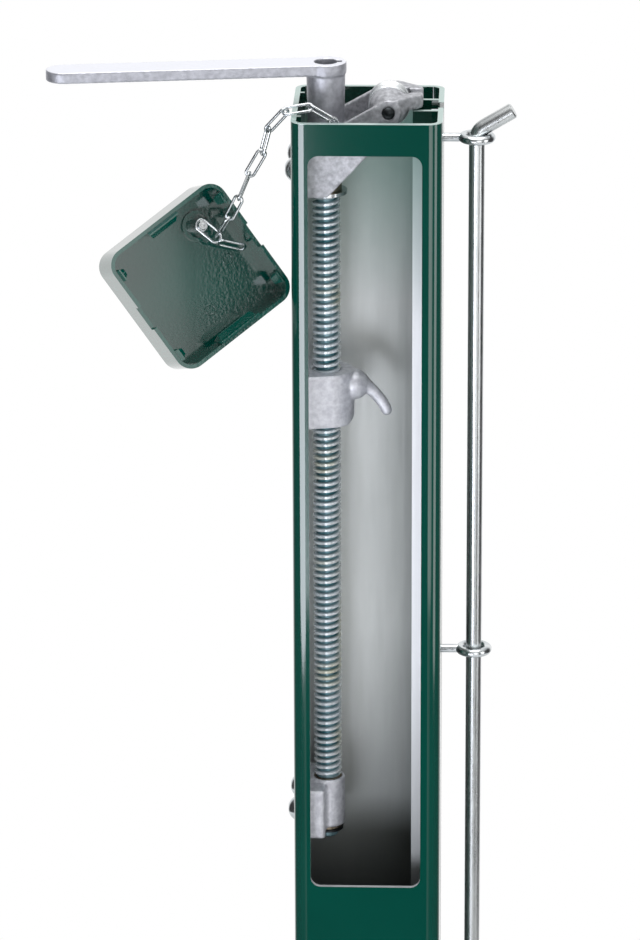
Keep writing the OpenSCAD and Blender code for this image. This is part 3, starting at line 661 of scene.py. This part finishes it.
def wedge(side, along, length):
    """The six corners of a wedge on a wall: side 0 to 3 is +Y, -X, -Y and +X."""
    ends = np.array([-0.5, -0.5, -0.5, 0.5, 0.5, 0.5]) * length
    s = along + ends + RIDGE_SHORTER * np.array([0, 0, 1, 0, 0, -1])
    inward = TAB_FACE - np.array([-SUNK, -SUNK, WEDGE_DEEP] * 2)
    z = np.array([WEDGE_TOP, WEDGE_FOOT, RIDGE_Z] * 2)
    cos, sin = np.cos(side * np.pi / 2), np.sin(side * np.pi / 2)
    return np.stack([s * cos - inward * sin, s * sin + inward * cos, z], -1)


wedges = in_cap(np.concatenate([wedge(*tab) for tab in TABS]))
wedge_faces = [[v + 6 * i for v in face] for i in range(len(TABS)) for face in WEDGE_FACES]
snaps = make_piece("snap_wedges", wedges, wedge_faces, "cap", PLASTIC, smooth_angle=30)
rounded = snaps.modifiers.new("rounded", "BEVEL")
rounded.width = 0.5 * MM
rounded.segments = 3

# %% [markdown]
# ## The chain's last link
# The chain ends in a link that holds nothing: it hangs loose from the end link.

# %% Make the loose link
WIRE_R = 0.85
LINK_HALF_WIDTH = 3.3
LINK_ENDS = np.array([23.2, 7.2, -11.9]), np.array([33.4, -4.0, -15.4])
LINK_FLAT_SIDE = np.array([0.5, 0.4, 1.0])


def link_surface(start, finish, flat_side, half_width, steps=14):
    """Oval link: two half circles joined by straights, in the plane of its run and flat_side, as a tube."""
    run = finish - start
    length = np.linalg.norm(run)
    along = run / length
    across = flat_side - along * np.dot(flat_side, along)
    across = across / np.linalg.norm(across)
    bend = half_width - WIRE_R
    a = np.linspace(0, np.pi, steps)[:, None]
    far = (length / 2 - bend + WIRE_R) * along + bend * (np.sin(a) * along + np.cos(a) * across)
    path = np.concatenate([far, -far]) + (start + finish) / 2
    turn = np.cos(a) * along - np.sin(a) * across
    return tube_round(path, np.concatenate([turn, -turn]), np.cross(along, across), WIRE_R)


loose, loose_faces = closed_grid(link_surface(*LINK_ENDS, LINK_FLAT_SIDE, LINK_HALF_WIDTH))
make_piece("loose_end_link", in_cap(loose), loose_faces, "cap", ZINC)

# %% [markdown]
# ## The floor
# The post stands on a pale floor. Round the post the floor is matt and takes the shadow. Further out
# it turns to the white of the background.

# %% Make the floor
FLOOR_RADIUS = 1.9
WHITE_FROM, WHITE_AT = 0.9, 1.7


def studio_floor():
    """Pale matt floor that turns to plain white between WHITE_FROM and WHITE_AT metres from the post.

    Only the camera and mirror-like surfaces see the white, so it throws no light of its own.
    """
    made, where = new_material("pale_studio_floor")
    away = add(made, "VectorMath", [where], operation="LENGTH")
    white = add(made, "MapRange", [away, WHITE_FROM, WHITE_AT])
    path = add(made, "LightPath").outputs
    seen = add(made, "Math", [path["Is Glossy Ray"], path["Is Transmission Ray"]], operation="MAXIMUM")
    seen = add(made, "Math", [path["Is Camera Ray"], seen], operation="MAXIMUM")
    share = add(made, "Math", [white, seen], operation="MULTIPLY")
    grain = add(made, "TexNoise", {"Vector": where, "Scale": every_mm(40), "Detail": 3})
    grey = add(made, "Mix", [grain, "#eef0f0", "#f6f7f7"], data_type="RGBA")
    matt = add(made, "BsdfDiffuse", {"Color": grey})
    glow = add(made, "Emission", {"Color": "#ffffff", "Strength": 1.0})
    add(made, "OutputMaterial", [add(made, "MixShader", [share, matt, glow])])
    return made


ring = np.linspace(0, 2 * np.pi, 96, endpoint=False)
floor_points = np.stack([FLOOR_RADIUS * np.cos(ring), FLOOR_RADIUS * np.sin(ring), 0 * ring], -1)
floor_mesh = bpy.data.meshes.new("studio_floor")
floor_mesh.from_pydata(floor_points.tolist(), [], [list(range(len(ring)))])
floor_mesh.materials.append(studio_floor())
floor = bpy.data.objects.new("studio_floor", floor_mesh)
scene.collection.objects.link(floor)

# %% [markdown]
# ## Lights and white background
# Four soft boxes light the post. The background is white for the camera and for mirror-like surfaces,
# while the light that it throws on the object stays at a plain level.

# %% Hang the lights and set the background


def softbox(name, place, aim, size, power, tint="#ffffff"):
    """A rectangular lamp at place that faces aim."""
    lamp = bpy.data.lights.new(name, "AREA")
    lamp.shape = "RECTANGLE"
    lamp.size, lamp.size_y = size
    lamp.energy = power
    lamp.color = colour(tint)[:3]
    made = bpy.data.objects.new(name, lamp)
    towards = (Vector(aim) - Vector(place)).to_track_quat("-Z", "Y")
    made.matrix_world = Matrix.Translation(place) @ towards.to_matrix().to_4x4()
    made.visible_camera = False
    scene.collection.objects.link(made)


# Radiance times pi times area gives a lamp's power. The left box is bright and low, and draws the pale
# line down the post's left corner. The right box is tall and dim, and another stands to its side.
TOP = (0, 0, RIM - 0.1)
softbox("left_softbox", (-0.88, -1.80, 0.66), (0, 0, 0.95), (1.65, 0.62), 19, "#f4f6ff")
softbox("right_softbox", (0.625, -1.917, 1.35), (0, 0, 1.15), (0.99, 2.0), 8)
softbox("side_softbox", (1.75, -1.02, 1.25), (0, 0, 1.15), (0.8, 1.9), 9)
softbox("top_softbox", (0.0, -0.2, 3.2), TOP, (1.6, 1.6), 25)

world = bpy.data.worlds.new("white_studio")
scene.world = world
world.use_nodes = True
world.node_tree.nodes.clear()
path = add(world, "LightPath").outputs
shiny = add(world, "Math", [path["Is Glossy Ray"], path["Is Transmission Ray"]], operation="MAXIMUM")
# Polished faces see a white backdrop behind, dark walls left and right, a bright ceiling, and a grey
# room in front with a dark gap between the boxes, where the camera stands
toward = add(world, "SeparateXYZ", [add(world, "TexCoord").outputs["Generated"]]).outputs
backdrop = add(world, "MapRange", [toward["Y"], 0.45, 0.75])
ceiling = add(world, "MapRange", [toward["Z"], 0.45, 0.8, 0, 0.8])
aside = add(world, "Math", [toward["X"]], operation="ABSOLUTE")
gap = add(world, "MapRange", [aside, 0.05, 0.09, 0.03, 1])
room = add(world, "MapRange", [toward["Y"], -0.93, -0.85, 0.4, 0.06])
room = add(world, "Math", [room, gap], operation="MULTIPLY")
seen = add(world, "Math", [backdrop, ceiling], operation="MAXIMUM")
seen = add(world, "Math", [seen, room], operation="MAXIMUM")
seen = add(world, "Math", [shiny, seen], operation="MULTIPLY")
seen = add(world, "Math", [seen, path["Is Camera Ray"]], operation="MAXIMUM")
white = add(world, "Background", {"Color": "#ffffff", "Strength": seen})
ambient = add(world, "Background", {"Color": "#f2f5f7", "Strength": 0.42})
direct = add(world, "Math", [shiny, path["Is Camera Ray"]], operation="MAXIMUM")
add(world, "OutputWorld", [add(world, "MixShader", [direct, ambient, white])])
